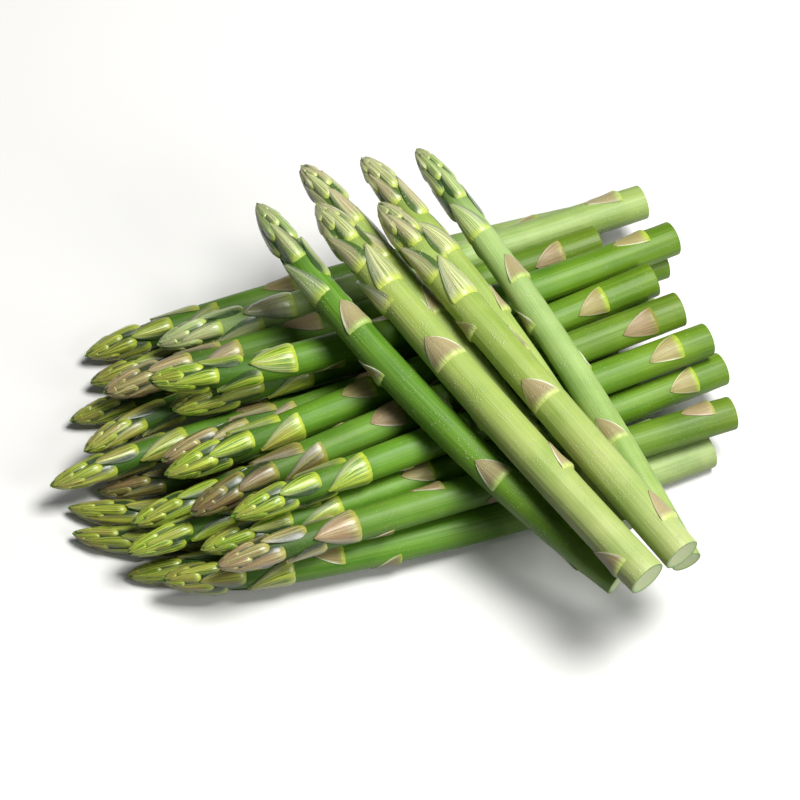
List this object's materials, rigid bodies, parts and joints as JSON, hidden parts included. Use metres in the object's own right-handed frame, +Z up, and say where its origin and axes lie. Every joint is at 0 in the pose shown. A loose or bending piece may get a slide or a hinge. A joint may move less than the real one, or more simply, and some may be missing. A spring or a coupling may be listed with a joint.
{
  "type": "bundle of green asparagus",
  "caption": "Bunch of fresh green asparagus spears lying in a low heap, tips one way, with more spears laid slantwise across the top",
  "frame": {"origin": "on the surface the bundle lies on, under the middle of its bounding box", "axes": "+Z up; +X towards the butts of the lower spears, along the bundle's longest side; +Y away from the viewer, towards the tips of the crossing spears"},
  "size_m": [0.2668, 0.2168, 0.0765],
  "materials": {
    "green_skin": "satin",
    "pale_skin": "satin",
    "purple_skin": "satin"
  },
  "bodies": {
    "root": {"spear_low_01": "green_skin", "spear_low_02": "pale_skin", "spear_low_03": "green_skin", "spear_low_04": "purple_skin", "spear_low_05": "green_skin", "spear_low_06": "green_skin", "spear_low_07": "green_skin", "spear_low_08": "green_skin", "spear_low_09": "purple_skin", "spear_low_10": "green_skin", "spear_low_11": "purple_skin", "spear_low_12": "green_skin", "spear_low_13": "purple_skin", "spear_low_14": "green_skin", "spear_low_15": "green_skin", "spear_low_16": "green_skin", "spear_low_17": "green_skin", "spear_low_18": "green_skin", "spear_low_19": "green_skin", "spear_low_20": "green_skin", "spear_low_21": "purple_skin", "spear_low_22": "green_skin", "spear_cross_1": "green_skin", "spear_cross_2": "pale_skin", "spear_cross_3": "pale_skin", "spear_cross_4": "pale_skin", "spear_cross_5": "pale_skin", "spear_cross_6": "green_skin"}
  },
  "joints": []
}
